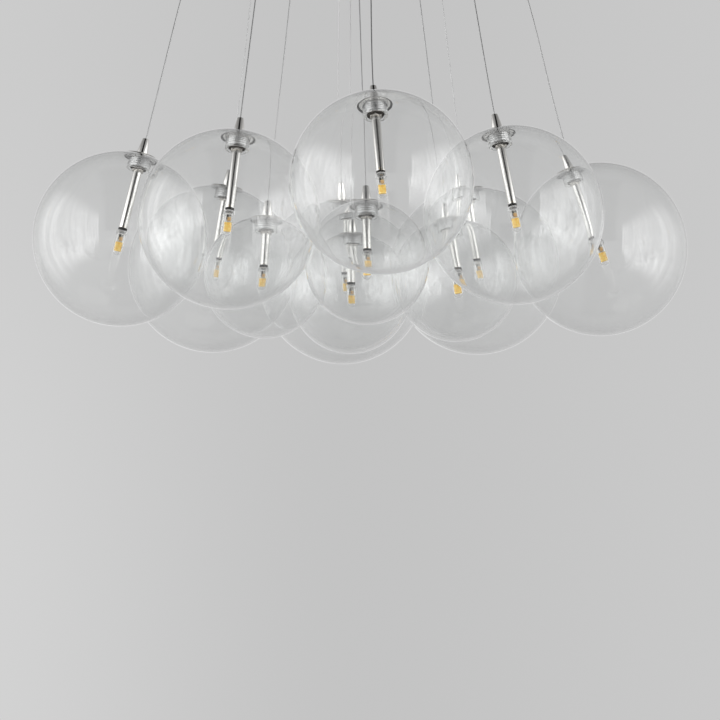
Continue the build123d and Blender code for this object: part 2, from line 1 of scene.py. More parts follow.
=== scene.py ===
"""Looks of the cluster pendant: glass globes, chromed fittings, plug-in lamps, cables and ceiling canopy.

Metres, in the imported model's frame: +Z up, origin on the ceiling at the canopy's axis, front towards -Y.
A drop's own pieces are turned in millimetres round its stem's axis, heights counted from the globe's centre.
"""

from collections import namedtuple
from math import cos, pi, radians, sin, sqrt, tan

import bmesh
import bpy
from mathutils import Matrix, Vector


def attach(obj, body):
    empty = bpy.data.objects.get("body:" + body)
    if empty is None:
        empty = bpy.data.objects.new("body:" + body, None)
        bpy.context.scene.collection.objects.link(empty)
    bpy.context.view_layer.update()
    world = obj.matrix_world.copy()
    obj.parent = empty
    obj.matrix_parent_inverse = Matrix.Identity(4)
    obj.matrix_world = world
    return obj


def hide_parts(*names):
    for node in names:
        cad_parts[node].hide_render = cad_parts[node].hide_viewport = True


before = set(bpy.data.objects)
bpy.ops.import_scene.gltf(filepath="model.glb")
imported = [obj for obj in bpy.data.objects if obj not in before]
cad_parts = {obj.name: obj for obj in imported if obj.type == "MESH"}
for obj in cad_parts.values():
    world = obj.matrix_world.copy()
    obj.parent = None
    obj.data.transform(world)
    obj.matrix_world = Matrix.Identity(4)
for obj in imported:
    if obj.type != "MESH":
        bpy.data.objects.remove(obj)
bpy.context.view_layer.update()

MM = 0.001

# ---------------------------------------------------------------- sizes of the part, in millimetres
LARGE_GLOBE = 200.0
SMALL_GLOBE = 140.0
GLASS_WALL = 1.5
PITCH = 201.0
SEAT_RADIUS = 20.0
SEAT_GAP = 0.3
NECK_BORE = 11.6
NECK_RADIUS = 13.5
NECK_DEPTH = 15.0
THREAD_RADIUS = 11.0
THREAD_CREST = 0.4
THREAD_ROOT = 0.6
THREAD_PITCH = 2.5
PLUG_DEPTH = 12.0
FIT = 0.05
DISC_THICKNESS = 1.5
DISC_WEB = 0.45
SEAL_WIDTH = 2.4
COLLAR_RADIUS = 5.6
COLLAR_HEIGHT = 3.0
CONE_BASE_RADIUS = 6.75
CONE_TOP_RADIUS = 3.75
CONE_HEIGHT = 18.0
TUBE_RADIUS = 5.0
TUBE_WALL = 1.0
SPIGOT_LENGTH = 6.0
WASHER_RADIUS = 9.5
WASHER_THICKNESS = 1.5
NUT_FLATS = 13.0
NUT_THICKNESS = 3.0
LAMP_TOP = 9.5
RING_HEIGHT = 3.0
PIN_SPACING = 4.0
PIN_RADIUS = 0.35
PIN_LENGTH = 7.5
LAMP_GAP = 0.3
LAMP_COLLAR_RADIUS = 6.2
LAMP_COLLAR_HEIGHT = 4.0
LAMP_RADIUS = 5.6
LAMP_WALL = 0.8
LAMP_LENGTH = 29.0
DRIVE_HEIGHT = 9.2
CHIP_WIDTH = 8.4
CHIP_HEIGHT = 11.0
CHIP_THICKNESS = 1.2
CABLE_RADIUS = 0.8
GLAND_BORE_DEPTH = 8.0
KNEE_RISE = 25.0
CLUSTER_DROP = 585.0
CLUSTER_SHIFT = 10.0
OUTER_OUTLETS = 130.0
INNER_OUTLETS = 48.0
OUTER_TURN = 5.0
INNER_TURN = 2.5
PIVOT_Z = -48.5

# ---------------------------------------------------------------- edges and small pieces, in millimetres
# how far the corners of a fitting or of a block in the lamp are rounded
ROUNDING = {
    "tube": 0.15,
    "gland": 0.3,
    "disc": 0.15,
    "seal": 0.08,
    "washer": 0.3,
    "ring": 0.25,
    "board": 0.08,
    "chip": 0.35,
    "drive": 0.1,
    "capacitor": 0.3,
}
DISC_BEVEL = 1.2
DISC_RIM = 0.2
SEAL_INSET = 0.25
SEAL_THICKNESS = 0.35
PLUG_CHAMFER = 0.3
RING_BORE = 0.6
NUT_CHAMFER = 0.16 * NUT_THICKNESS
NUT_CHAMFER_SPREAD = 1.6
WALL_BELOW_MOUTH = 0.5
WALL_ABOVE_LIP = 0.8
# edges of the glass, as steps outward and upward from the sharp corner
SEAT_EDGE = ((-0.25, 0.0), (-1.2, 0.0))
MOUTH_EDGE = ((0.5, 0.0), (0.15, -0.15))
LIP_INNER_EDGE = ((0.25, 0.2), (0.75, 0.0))
LIP_OUTER_EDGE = ((-0.75, 0.0), (-0.2, 0.25), (0.0, WALL_ABOVE_LIP))
NECK_FILLET = ((0.0, -2.0), (0.35, -0.9), (1.1, -0.25), (2.2, 0.0))
COLLAR_TOP_EDGE = ((-0.5, 0.0), (-0.12, -0.14), (0.0, -0.5))
COLLAR_FOOT_EDGE = ((0.0, 0.6), (-0.2, 0.2), (-0.6, 0.0))
CAPSULE_FILLET = ((0.3, 0.0), (0.0, -0.3))
CAVITY_FOOT = ((0.0, 0.0), (0.5, 0.6))
CAVITY_TOP = ((0.5, -1.2), (0.0, -LAMP_WALL))

# the board in the lamp, and the blocks on it
BOARD_WIDTH = 5.6
BOARD_THICKNESS = 0.5
BOARD_BEHIND = 0.35
Block = namedtuple("Block", "aside below size")
DRIVE_BLOCKS = (
    Block(-1.3, 1.8, (1.9, 1.1, 3.0)),
    Block(1.6, 0.9, (1.0, 0.8, 1.1)),
    Block(-1.9, 5.2, (0.9, 0.7, 2.2)),
)
CAPACITOR_BLOCKS = (Block(0.9, 5.6, (4.0, 1.2, 4.2)),)

# ---------------------------------------------------------------- the twelve drops
# globe's diameter, azimuth of its centre, reach in pitches and height, its outlet's azimuth,
# the stem's lean to the right in degrees and the cable's bow to the right in millimetres
Drop = namedtuple("Drop", "name globe azimuth reach height outlet tilt bow")
DROPS = [
    Drop("01", LARGE_GLOBE, 276.0, 1.365, -3.0, 270.0, -0.5, -5.0),
    Drop("02", LARGE_GLOBE, 322.0, 1.170, -16.0, 315.0, 0.5, 4.0),
    Drop("03", LARGE_GLOBE, 4.5, 1.470, 0.0, 0.0, -2.0, 5.0),
    Drop("04", LARGE_GLOBE, 49.0, 1.130, -3.0, 45.0, -1.5, -1.5),
    Drop("05", LARGE_GLOBE, 94.5, 1.380, -4.0, 90.0, -2.0, 11.0),
    Drop("06", LARGE_GLOBE, 228.0, 1.165, 3.0, 225.0, 3.0, 3.0),
    Drop("07", SMALL_GLOBE, 268.0, 0.545, -41.0, 270.0, -2.0, 2.0),
    Drop("08", SMALL_GLOBE, 186.0, 0.530, -39.0, 180.0, -0.5, 1.5),
    Drop("09", SMALL_GLOBE, 4.5, 0.490, -46.0, 0.0, 0.5, -1.0),
    Drop("10", LARGE_GLOBE, 184.0, 1.475, 16.0, 180.0, -2.5, -1.5),
    Drop("11", SMALL_GLOBE, 92.5, 0.550, -45.0, 90.0, -1.0, 2.0),
    Drop("12", LARGE_GLOBE, 141.5, 1.110, 4.0, 135.0, -1.0, -1.0),
]

# ---------------------------------------------------------------- how finely the looks are made
GLOBE_SEGMENTS = 112
SMALL_SEGMENTS = 64
ARC_STEPS = 56
CORNER_STEPS = 3
DOME_STEPS = 12
NUT_SEGMENTS = 48
PIN_SEGMENTS = 16
CABLE_STEPS = 12
# the largest share of a side that the rounding of its corner takes
CORNER_SHARE = 0.4
# a point nearer to the axis than this lies on it
ON_AXIS = 1e-6
# one ridge of a thread: how far below its middle, in pitches, and how much of its height
RIDGE_SHAPE = ((-0.3, 0.0), (-0.22, 0.15), (-0.1, 0.85), (0.0, 1.0), (0.1, 0.85), (0.22, 0.15), (0.3, 0.0))
SHARP_ANGLE = 35.0


# ---------------------------------------------------------------- where things are


def polar(radius, azimuth, height):
    """A point at an azimuth measured from the front, anticlockwise seen from above."""
    return Vector((radius * sin(radians(azimuth)), -radius * cos(radians(azimuth)), height))


def centre_of(drop):
    return polar(PITCH * drop.reach, drop.azimuth, drop.height - CLUSTER_DROP) + Vector((CLUSTER_SHIFT, 0, 0))


def pivot_of(drop):
    if drop.reach > 1.0:
        return polar(OUTER_OUTLETS, OUTER_TURN + drop.outlet, PIVOT_Z)
    return polar(INNER_OUTLETS, INNER_TURN + drop.outlet, PIVOT_Z)


def axis_of(drop):
    towards = (pivot_of(drop) - centre_of(drop)).normalized()
    return (towards + Vector((tan(radians(drop.tilt)), 0, 0))).normalized()


def placed(drop):
    """The matrix from millimetres round the stem's axis to the drop's place. Its -Y faces the front."""
    along = axis_of(drop)
    side = Vector((0, 1, 0)).cross(along).normalized()
    back = along.cross(side)
    turned = Matrix((side, back, along)).transposed().to_4x4()
    return Matrix.Translation(centre_of(drop) * MM) @ turned @ Matrix.Scale(MM, 4)


def seat_height(drop):
    return sqrt((drop.globe / 2) ** 2 - SEAT_RADIUS**2)


def disc_top(drop):
    return seat_height(drop) + SEAT_GAP + DISC_THICKNESS


def tube_top_of(drop):
    return disc_top(drop) + COLLAR_HEIGHT


def gland_top(drop):
    return tube_top_of(drop) + CONE_HEIGHT


def cable_points(drop):
    """The cable's route, the same points as in the part's source."""
    along = axis_of(drop)
    start = centre_of(drop) + along * (gland_top(drop) - GLAND_BORE_DEPTH)
    knee = centre_of(drop) + along * (gland_top(drop) + KNEE_RISE)
    end = pivot_of(drop)
    middle = (knee + end) * 0.5 + Vector((drop.bow, 0, 0))
    return [point * MM for point in (start, knee, middle, end)]


# ---------------------------------------------------------------- shaders

# A smooth step: between which values it lies, and from what to what it goes.
Step = namedtuple("Step", "low high start end", defaults=(0.0, 1.0))


class Wiring:
    """Short names for a shader's nodes."""

    def __init__(self, tree):
        self.tree = tree

    def link(self, value, socket):
        if isinstance(value, (int, float)):
            socket.default_value = value
        else:
            self.tree.links.new(value, socket)

    def maths(self, operation, first, second=0.0):
        node = self.tree.nodes.new("ShaderNodeMath")
        node.operation = operation
        self.link(first, node.inputs[0])
        self.link(second, node.inputs[1])
        return node.outputs[0]

    def smooth(self, value, step):
        """Where a smooth step has got to at the value."""
        node = self.tree.nodes.new("ShaderNodeMapRange")
        node.interpolation_type = "SMOOTHSTEP"
        self.link(value, node.inputs["Value"])
        for socket, number in zip(("From Min", "From Max", "To Min", "To Max"), step):
            node.inputs[socket].default_value = number
        return node.outputs["Result"]

    def place(self, output):
        """The three parts of a texture coordinate."""
        coordinates = self.tree.nodes.new("ShaderNodeTexCoord")
        parts = self.tree.nodes.new("ShaderNodeSeparateXYZ")
        self.tree.links.new(coordinates.outputs[output], parts.inputs[0])
        return parts.outputs

    def looks_through(self):
        """1 for a ray from the camera that has met nothing but clear glass, which sees the plain backdrop."""
        rays = self.tree.nodes.new("ShaderNodeLightPath")
        mirrored = self.maths("ADD", rays.outputs["Glossy Depth"], rays.outputs["Diffuse Depth"])
        direct = self.maths("LESS_THAN", mirrored, 0.5)
        through = self.maths("MULTIPLY", rays.outputs["Is Transmission Ray"], direct)
        return self.maths("MAXIMUM", rays.outputs["Is Camera Ray"], through)

    def mix(self, share, first, second):
        node = self.tree.nodes.new("ShaderNodeMixShader")
        self.link(share, node.inputs[0])
        self.tree.links.new(first, node.inputs[1])
        self.tree.links.new(second, node.inputs[2])
        return node.outputs[0]


def new_material(name, **sockets):
    """A material with one Principled shader, its sockets set by name."""
    material = bpy.data.materials.new(name)
    material.use_nodes = True
    shader = material.node_tree.nodes["Principled BSDF"]
    for socket, value in sockets.items():
        shader.inputs[socket.replace("_", " ")].default_value = value
    return material


def add_noise(material, scale, detail=3.0, stretch=(1, 1, 1)):
    """A noise texture in the piece's own coordinates."""
    tree = material.node_tree
    place = tree.nodes.new("ShaderNodeTexCoord")
    mapping = tree.nodes.new("ShaderNodeMapping")
    mapping.inputs["Scale"].default_value = stretch
    noise = tree.nodes.new("ShaderNodeTexNoise")
    noise.inputs["Scale"].default_value = scale
    noise.inputs["Detail"].default_value = detail
    tree.links.new(place.outputs["Object"], mapping.inputs["Vector"])
    tree.links.new(mapping.outputs["Vector"], noise.inputs["Vector"])
    return noise


def add_bump(material, scale, strength, distance, detail=3.0, stretch=(1, 1, 1)):
    tree = material.node_tree
    noise = add_noise(material, scale, detail, stretch)
    bump = tree.nodes.new("ShaderNodeBump")
    bump.inputs["Strength"].default_value = strength
    bump.inputs["Distance"].default_value = distance
    tree.links.new(noise.outputs["Fac"], bump.inputs["Height"])
    tree.links.new(bump.outputs["Normal"], tree.nodes["Principled BSDF"].inputs["Normal"])


# the part of a noise's values over which the whole change of a finish is spread
ROUGHNESS_NOISE = (0.3, 0.7)
COLOUR_NOISE = (0.35, 0.65)


def vary_roughness(material, scale, low, high, stretch=(1, 1, 1)):
    tree = material.node_tree
    noise = add_noise(material, scale, 4.0, stretch)
    spread = tree.nodes.new("ShaderNodeMapRange")
    for socket, number in zip(("From Min", "From Max", "To Min", "To Max"), (*ROUGHNESS_NOISE, low, high)):
        spread.inputs[socket].default_value = number
    tree.links.new(noise.outputs["Fac"], spread.inputs["Value"])
    tree.links.new(spread.outputs["Result"], tree.nodes["Principled BSDF"].inputs["Roughness"])


def vary_colour(material, scale, first, second, detail=4.0, stretch=(1, 1, 1)):
    tree = material.node_tree
    noise = add_noise(material, scale, detail, stretch)
    ramp = tree.nodes.new("ShaderNodeValToRGB")
    for stop, position, colour in zip(ramp.color_ramp.elements, COLOUR_NOISE, (first, second)):
        stop.position = position
        stop.color = (*colour, 1)
    tree.links.new(noise.outputs["Fac"], ramp.inputs["Fac"])
    tree.links.new(ramp.outputs["Color"], tree.nodes["Principled BSDF"].inputs["Base Color"])


# painted shade: how bright a thread's colour is from just outside its root to well inside its crest, by the
# distance from the axis
PAINTED_GROOVE_SHADE = Step(THREAD_RADIUS - THREAD_ROOT + 0.1, THREAD_RADIUS + THREAD_CREST - 0.4, 0.5, 1.0)


def paint_groove_shade(material):
    """Painted shade: the colour dull in a thread's grooves and bright on its ridges, standing in for the
    shade that falls in them.
    """
    tree = material.node_tree
    w = Wiring(tree)
    x, y, _ = w.place("Object")
    squares = w.maths("ADD", w.maths("MULTIPLY", x, x), w.maths("MULTIPLY", y, y))
    shade = w.smooth(w.maths("SQRT", squares), PAINTED_GROOVE_SHADE)
    tree.links.new(shade, tree.nodes["Principled BSDF"].inputs["Base Color"])


# ---------------------------------------------------------------- materials


def make_materials():
    """Every finish by name. Textures of a drop's pieces are in millimetres, those of the canopy in metres."""
    made = {}
    glass = new_material(
        "blown_glass", Base_Color=(0.99, 0.993, 0.992, 1), Transmission_Weight=1.0, Roughness=0.0, IOR=1.5
    )
    add_bump(glass, 0.03, 1.0, 0.006 * MM, 1.0, (1, 1, 0.3))
    made["glass"] = glass

    capsule = new_material(
        "lamp_capsule", Base_Color=(0.985, 0.985, 0.98, 1), Transmission_Weight=1.0, Roughness=0.0, IOR=1.45
    )
    add_bump(capsule, 0.25, 1.0, 0.01 * MM)
    made["capsule"] = capsule

    chrome = new_material(
        "fitting_chrome",
        Base_Color=(0.88, 0.865, 0.84, 1),
        Metallic=1.0,
        Roughness=0.12,
        Anisotropic=0.7,
        Anisotropic_Rotation=0.25,
    )
    vary_roughness(chrome, 0.5, 0.1, 0.14, (1, 1, 0.2))
    made["chrome"] = chrome

    thread = new_material("thread_chrome", Base_Color=(0.7, 0.69, 0.67, 1), Metallic=1.0, Roughness=0.15)
    # the thread's colour carries painted shade in its grooves
    paint_groove_shade(thread)
    made["thread"] = thread

    made["black"] = new_material("lampholder_black", Base_Color=(0.014, 0.013, 0.012, 1), Roughness=0.38)
    add_bump(made["black"], 5.0, 1.0, 0.01 * MM)

    made["washer"] = new_material("fibre_washer", Base_Color=(0.15, 0.14, 0.125, 1), Roughness=0.6)
    vary_colour(made["washer"], 1.5, (0.12, 0.11, 0.1), (0.19, 0.175, 0.16))
    add_bump(made["washer"], 4.0, 1.0, 0.03 * MM)

    made["nut"] = new_material("nut_nickel", Base_Color=(0.46, 0.44, 0.41, 1), Metallic=1.0, Roughness=0.2)
    vary_roughness(made["nut"], 0.5, 0.18, 0.23, (1, 1, 0.3))

    made["phosphor"] = new_material(
        "chip_phosphor",
        Base_Color=(0.84, 0.58, 0.09, 1),
        Roughness=0.3,
        Coat_Weight=0.6,
        Coat_Roughness=0.08,
        # a faint painted glow that brightens the chip's colour, not the lamp's own light
        Emission_Color=(1.0, 0.66, 0.14, 1),
        Emission_Strength=0.16,
    )
    vary_colour(made["phosphor"], 0.4, (0.84, 0.44, 0.02), (0.98, 0.76, 0.24), 2.0)
    add_bump(made["phosphor"], 2.5, 1.0, 0.02 * MM)

    made["board"] = new_material("lamp_board", Base_Color=(0.62, 0.6, 0.55, 1), Roughness=0.45)
    vary_colour(made["board"], 1.2, (0.52, 0.5, 0.45), (0.7, 0.68, 0.62))

    made["component"] = new_material("component_black", Base_Color=(0.02, 0.018, 0.017, 1), Roughness=0.3)
    add_bump(made["component"], 6.0, 1.0, 0.01 * MM)

    made["capacitor"] = new_material("component_amber", Base_Color=(0.72, 0.43, 0.14, 1), Roughness=0.35)
    vary_colour(made["capacitor"], 1.0, (0.62, 0.33, 0.1), (0.8, 0.55, 0.24))

    made["pin"] = new_material("pin_tin", Base_Color=(0.7, 0.69, 0.66, 1), Metallic=1.0, Roughness=0.25)
    vary_roughness(made["pin"], 2.0, 0.18, 0.35)

    cable = new_material("cable_jacket", Base_Color=(0.54, 0.54, 0.54, 1), Metallic=1.0, Roughness=0.3)
    vary_colour(cable, 300.0, (0.52, 0.52, 0.52), (0.56, 0.56, 0.56), 2.0, (1, 1, 0.1))
    made["cable"] = cable

    canopy = new_material("canopy_chrome", Base_Color=(0.74, 0.735, 0.72, 1), Metallic=1.0, Roughness=0.16)
    vary_roughness(canopy, 18.0, 0.1, 0.22)
    add_bump(canopy, 900.0, 1.0, 0.0006 * MM, 2.0, (1, 1, 0.03))
    made["canopy"] = canopy

    plate = new_material("plate_zinc", Base_Color=(0.55, 0.56, 0.57, 1), Metallic=1.0, Roughness=0.4)
    vary_colour(plate, 60.0, (0.44, 0.45, 0.46), (0.64, 0.65, 0.66), 1.0)
    vary_roughness(plate, 70.0, 0.3, 0.5)
    made["plate"] = plate

    steel = new_material("screw_steel", Base_Color=(0.68, 0.67, 0.65, 1), Metallic=1.0, Roughness=0.22)
    vary_roughness(steel, 400.0, 0.15, 0.32)
    made["steel"] = steel

    made["rubber"] = new_material("grommet_rubber", Base_Color=(0.02, 0.02, 0.02, 1), Roughness=0.75)
    add_bump(made["rubber"], 2000.0, 1.0, 0.02 * MM)

    made["case"] = new_material("driver_case", Base_Color=(0.7, 0.7, 0.68, 1), Roughness=0.45)
    vary_colour(made["case"], 40.0, (0.66, 0.66, 0.64), (0.73, 0.73, 0.71))
    add_bump(made["case"], 1800.0, 1.0, 0.02 * MM)

    made["terminal"] = new_material("terminal_nylon", Base_Color=(0.78, 0.77, 0.72, 1), Roughness=0.5)
    vary_colour(made["terminal"], 120.0, (0.73, 0.72, 0.66), (0.82, 0.81, 0.77))

    brass = new_material("bar_brass", Base_Color=(0.72, 0.53, 0.25, 1), Metallic=1.0, Roughness=0.3)
    vary_colour(brass, 150.0, (0.62, 0.44, 0.19), (0.78, 0.6, 0.32))
    made["brass"] = brass
    return made


# ---------------------------------------------------------------- meshes


def softened(outline, radius, steps=CORNER_STEPS):
    """The closed outline with its corners rounded, except where a corner lies on the axis."""
    points = [Vector(point) for point in outline]
    count = len(points)
    result = []
    for index, at in enumerate(points):
        before = points[index - 1]
        after = points[(index + 1) % count]
        if at.x < ON_AXIS:
            result.append(at)
            continue
        cut = min(radius, CORNER_SHARE * (at - before).length, CORNER_SHARE * (after - at).length)
        first = at + (before - at).normalized() * cut
        last = at + (after - at).normalized() * cut
        for step in range(steps + 1):
            share = step / steps
            result.append(first * (1 - share) ** 2 + at * 2 * share * (1 - share) + last * share**2)
    return result


def angle_from_below(radius, height):
    """The angle between straight down and a point of the globe, seen from its centre, in degrees."""
    return 180 - Vector((radius, height)).angle(Vector((0, 1))) * 180 / pi


def arc_outline(radius, start, end, steps=ARC_STEPS):
    """Points of an arc about the globe's centre, by angle from straight down, in degrees."""
    points = []
    for step in range(steps + 1):
        angle = radians(start + (end - start) * step / steps)
        points.append(Vector((radius * sin(angle), -radius * cos(angle))))
    return points


def turned_mesh(name, outline, segments, closed=True):
    """A turned mesh. Its outline runs down the outside, so that its faces look outward."""
    made = bmesh.new()
    rows = []
    for point in outline:
        radius, height = point
        if radius < ON_AXIS:
            rows.append([made.verts.new((0, 0, height))])
            continue
        row = []
        for segment in range(segments):
            turn = 2 * pi * segment / segments
            row.append(made.verts.new((radius * cos(turn), radius * sin(turn), height)))
        rows.append(row)
    pairs = list(zip(rows, rows[1:]))
    if closed:
        pairs.append((rows[-1], rows[0]))
    for upper, lower in pairs:
        for segment in range(segments):
            following = (segment + 1) % segments
            if len(upper) == 1 and len(lower) == 1:
                break
            if len(upper) == 1:
                made.faces.new((upper[0], lower[segment], lower[following]))
            elif len(lower) == 1:
                made.faces.new((upper[segment], lower[0], upper[following]))
            else:
                made.faces.new((upper[segment], lower[segment], lower[following], upper[following]))
    return finished_mesh(made, name)


def finished_mesh(made, name):
    """The bmesh as a mesh, smooth but for its sharp edges."""
    mesh = bpy.data.meshes.new(name)
    made.to_mesh(mesh)
    made.free()
    mesh.shade_smooth()
    mesh.set_sharp_from_angle(angle=radians(SHARP_ANGLE))
    return mesh


def block_mesh(name, boxes, edge):
    """Rounded blocks in one mesh: each is its centre and its size."""
    made = bmesh.new()
    for centre, size in boxes:
        grown = bmesh.ops.create_cube(made, size=1.0)["verts"]
        bmesh.ops.scale(made, vec=Vector(size), verts=grown)
        bmesh.ops.translate(made, vec=Vector(centre), verts=grown)
    bmesh.ops.bevel(made, geom=made.edges[:], offset=edge, segments=2, profile=0.5, affect="EDGES")
    bmesh.ops.recalc_face_normals(made, faces=made.faces)
    return finished_mesh(made, name)


def hexagon_reach(turn, limit):
    """How far a nut's side is from its axis at an angle, its corners cut off at a limit."""
    within = (turn + pi / 6) % (pi / 3) - pi / 6
    return min(NUT_FLATS / 2 / cos(within), limit)


def nut_mesh(name, bore, low):
    """A hexagon nut with chamfered corners round a bore."""
    made = bmesh.new()
    high = low + NUT_THICKNESS
    corner = NUT_FLATS / sqrt(3)
    chamfered = corner - NUT_CHAMFER * NUT_CHAMFER_SPREAD
    turns = [2 * pi * segment / NUT_SEGMENTS for segment in range(NUT_SEGMENTS)]
    rings = [
        (low, [hexagon_reach(turn, chamfered) for turn in turns]),
        (low + NUT_CHAMFER, [hexagon_reach(turn, corner) for turn in turns]),
        (high - NUT_CHAMFER, [hexagon_reach(turn, corner) for turn in turns]),
        (high, [hexagon_reach(turn, chamfered) for turn in turns]),
        (high, [bore] * NUT_SEGMENTS),
        (low, [bore] * NUT_SEGMENTS),
    ]
    rows = []
    for height, reaches in rings:
        row = []
        for turn, reach in zip(turns, reaches):
            row.append(made.verts.new((reach * cos(turn), reach * sin(turn), height)))
        rows.append(row)
    for upper, lower in zip(rows, rows[1:] + rows[:1]):
        for segment in range(NUT_SEGMENTS):
            following = (segment + 1) % NUT_SEGMENTS
            made.faces.new((upper[segment], lower[segment], lower[following], upper[following]))
    bmesh.ops.recalc_face_normals(made, faces=made.faces)
    return finished_mesh(made, name)


def ridged_wall(wall, crest, high, low, first):
    """Outline points down a threaded wall, with a ridge up to the crest at every pitch below the first."""
    points = [Vector((wall, high))]
    middle = first
    while middle - THREAD_PITCH / 2 > low:
        for below, share in RIDGE_SHAPE:
            points.append(Vector((wall + (crest - wall) * share, middle - below * THREAD_PITCH)))
        middle -= THREAD_PITCH
    points.append(Vector((wall, low)))
    return points


def edge_points(radius, height, edge):
    """The points of one of the glass's edges, whose sharp corner is at that radius and height."""
    return [Vector((radius + outward, height + upward)) for outward, upward in edge]


def globe_mesh(drop):
    """Blown globe: both walls, the ground seat on its top and the inward neck with its thread."""
    outside = drop.globe / 2
    inside = outside - GLASS_WALL
    seat = seat_height(drop)
    lip = seat - NECK_DEPTH
    under = seat - GLASS_WALL
    shoulder = sqrt(inside**2 - under**2)
    crest = NECK_BORE - THREAD_ROOT - THREAD_CREST
    first_ridge = seat - 1.5 * THREAD_PITCH
    upward = [
        *arc_outline(outside, 0, angle_from_below(SEAT_RADIUS, seat)),
        *edge_points(SEAT_RADIUS, seat, SEAT_EDGE),
        *edge_points(NECK_BORE, seat, MOUTH_EDGE),
        *ridged_wall(NECK_BORE, crest, seat - WALL_BELOW_MOUTH, lip + WALL_ABOVE_LIP, first_ridge),
        *edge_points(NECK_BORE, lip, LIP_INNER_EDGE),
        *edge_points(NECK_RADIUS, lip, LIP_OUTER_EDGE),
        *edge_points(NECK_RADIUS, under, NECK_FILLET),
        *arc_outline(inside, angle_from_below(shoulder, under), 0),
    ]
    return turned_mesh(f"globe_mesh_{drop.globe:.0f}", upward[::-1], GLOBE_SEGMENTS, closed=False)


def plug_mesh(drop):
    """Threaded plug, its ridges between those of the neck."""
    low = seat_height(drop) - PLUG_DEPTH
    high = seat_height(drop) + SEAT_GAP + DISC_THICKNESS - DISC_WEB
    root = THREAD_RADIUS - THREAD_ROOT
    crest = THREAD_RADIUS + THREAD_CREST
    first_ridge = seat_height(drop) - THREAD_PITCH
    bore = TUBE_RADIUS + FIT
    outline = [
        Vector((bore, high)),
        *ridged_wall(root, crest, high, low + PLUG_CHAMFER, first_ridge),
        Vector((root - PLUG_CHAMFER, low)),
        Vector((bore, low)),
    ]
    return turned_mesh(f"plug_mesh_{drop.globe:.0f}", outline, SMALL_SEGMENTS)


def ring_mesh(name, inner, outer, low, high, edge):
    outline = softened([(inner, high), (outer, high), (outer, low), (inner, low)], edge)
    return turned_mesh(name, outline, SMALL_SEGMENTS)


def gland_mesh(drop):
    """Cone gland with its spigot in the stem tube, bored for the cable."""
    base = tube_top_of(drop)
    top = gland_top(drop)
    spigot = TUBE_RADIUS - TUBE_WALL - FIT
    bore = CABLE_RADIUS + FIT
    outline = [
        (bore, top),
        (CONE_TOP_RADIUS, top),
        (CONE_BASE_RADIUS, base),
        (spigot, base),
        (spigot, base - SPIGOT_LENGTH),
        (bore, base - SPIGOT_LENGTH),
    ]
    return turned_mesh(f"gland_mesh_{drop.globe:.0f}", softened(outline, ROUNDING["gland"]), SMALL_SEGMENTS)


def disc_mesh(drop):
    """Cap disc with its collar, hollow under its web, its rim bevelled outside and in."""
    low = seat_height(drop) + FIT
    high = disc_top(drop)
    bore = TUBE_RADIUS + FIT
    outline = [
        (bore, tube_top_of(drop)),
        (COLLAR_RADIUS, tube_top_of(drop)),
        (COLLAR_RADIUS, high),
        (SEAT_RADIUS - DISC_BEVEL, high),
        (SEAT_RADIUS, low + DISC_RIM),
        (SEAT_RADIUS - DISC_RIM, low),
        (SEAT_RADIUS - SEAL_WIDTH, high - DISC_WEB),
        (bore, high - DISC_WEB),
    ]
    return turned_mesh(f"disc_mesh_{drop.globe:.0f}", softened(outline, ROUNDING["disc"]), SMALL_SEGMENTS)


def seal_mesh(drop):
    """Rubber seal on the inner bevel of the disc's rim."""
    low = seat_height(drop) + FIT
    web = disc_top(drop) - DISC_WEB
    outline = [
        (SEAT_RADIUS - SEAL_WIDTH, web),
        (SEAT_RADIUS - SEAL_INSET, low),
        (SEAT_RADIUS - SEAL_INSET - SEAL_THICKNESS, low),
        (SEAT_RADIUS - SEAL_WIDTH - SEAL_THICKNESS, web),
    ]
    return turned_mesh(f"seal_mesh_{drop.globe:.0f}", softened(outline, ROUNDING["seal"]), SMALL_SEGMENTS)


def quarter_turn():
    return [pi / 2 * step / DOME_STEPS for step in range(DOME_STEPS + 1)]


def capsule_mesh():
    """The lamp's clear collar and hollow capsule."""
    top = LAMP_TOP - LAMP_GAP
    shoulder = top - LAMP_COLLAR_HEIGHT
    tip = top - LAMP_LENGTH
    dome = tip + LAMP_RADIUS
    cavity = LAMP_RADIUS - LAMP_WALL
    outside = [Vector((LAMP_RADIUS * cos(a), dome - LAMP_RADIUS * sin(a))) for a in quarter_turn()]
    inside = [Vector((cavity * cos(a), dome - cavity * sin(a))) for a in reversed(quarter_turn())]
    outline = [
        Vector((0, top)),
        *edge_points(LAMP_COLLAR_RADIUS, top, COLLAR_TOP_EDGE),
        *edge_points(LAMP_COLLAR_RADIUS, shoulder, COLLAR_FOOT_EDGE),
        *edge_points(LAMP_RADIUS, shoulder, CAPSULE_FILLET),
        *outside,
        *inside,
        *edge_points(cavity, shoulder, CAVITY_FOOT),
        *edge_points(cavity, top, CAVITY_TOP),
        Vector((0, top - LAMP_WALL)),
    ]
    return turned_mesh("capsule_mesh", outline, SMALL_SEGMENTS, closed=False)


def pins_mesh():
    """Two straight pins."""
    low = LAMP_TOP - LAMP_GAP
    made = bmesh.new()
    for side in (-1, 1):
        grown = bmesh.ops.create_cone(
            made,
            cap_ends=True,
            segments=PIN_SEGMENTS,
            radius1=PIN_RADIUS,
            radius2=PIN_RADIUS,
            depth=PIN_LENGTH,
        )["verts"]
        bmesh.ops.translate(made, vec=(side * PIN_SPACING / 2, 0, low + PIN_LENGTH / 2), verts=grown)
    bmesh.ops.recalc_face_normals(made, faces=made.faces)
    return finished_mesh(made, "pins_mesh")


